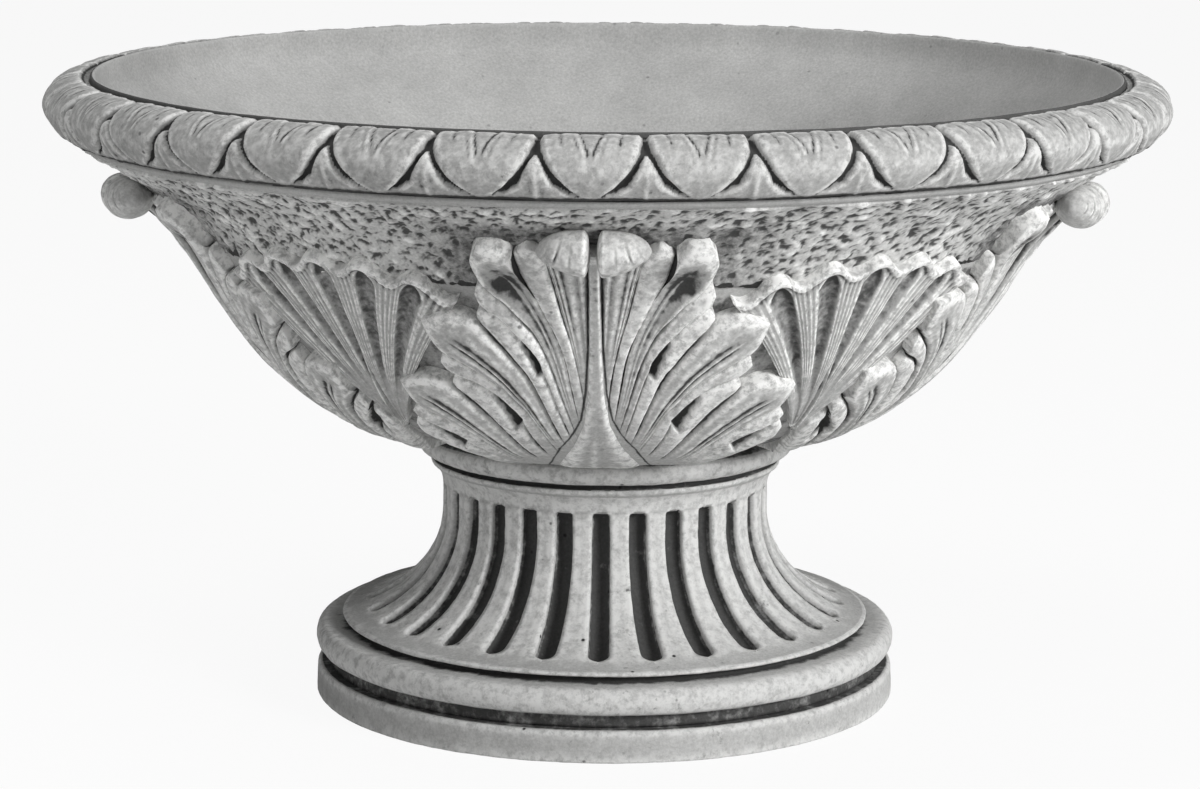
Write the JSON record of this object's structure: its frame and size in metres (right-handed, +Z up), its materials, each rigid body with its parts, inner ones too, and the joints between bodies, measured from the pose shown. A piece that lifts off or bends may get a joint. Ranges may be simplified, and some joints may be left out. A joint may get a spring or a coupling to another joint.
{
  "type": "urn planter",
  "caption": "Wide shallow cast-stone bowl with carved leaves, shells and an egg moulding, lifting off a short fluted pedestal.",
  "frame": {"origin": "middle of the ground face, under the plinth ring", "axes": "+Z up the axis of the bowl and pedestal; -Y through the middle of one acanthus leaf"},
  "size_m": [0.759, 0.759, 0.43],
  "materials": {
    "cast_stone": "weathered grey cast stone, fine sandy grain with dark patina in the hollows",
    "aged_stone": "the same stone, darker where it meets the ground",
    "mortar": "thin pale bed of lime mortar"
  },
  "bodies": {
    "pedestal": {"plinth_ring": "aged_stone", "fluted_pedestal": "cast_stone", "mortar_bed": "mortar"},
    "bowl": {"bowl_shell": "cast_stone", "egg_and_dart_rim": "cast_stone", "acanthus_leaf_1": "cast_stone", "acanthus_leaf_2": "cast_stone", "acanthus_leaf_3": "cast_stone", "acanthus_leaf_4": "cast_stone", "acanthus_leaf_5": "cast_stone", "curled_leaf_tip_1": "cast_stone", "curled_leaf_tip_2": "cast_stone", "curled_leaf_tip_3": "cast_stone", "curled_leaf_tip_4": "cast_stone", "curled_leaf_tip_5": "cast_stone", "shell_palmette_1": "cast_stone", "shell_palmette_2": "cast_stone", "shell_palmette_3": "cast_stone", "shell_palmette_4": "cast_stone", "shell_palmette_5": "cast_stone"}
  },
  "joints": [
    {"name": "bowl_lift", "type": "slide", "parent": "pedestal", "child": "bowl", "axis": [0, 0, 1], "range_m": [0, 0.12]}
  ]
}
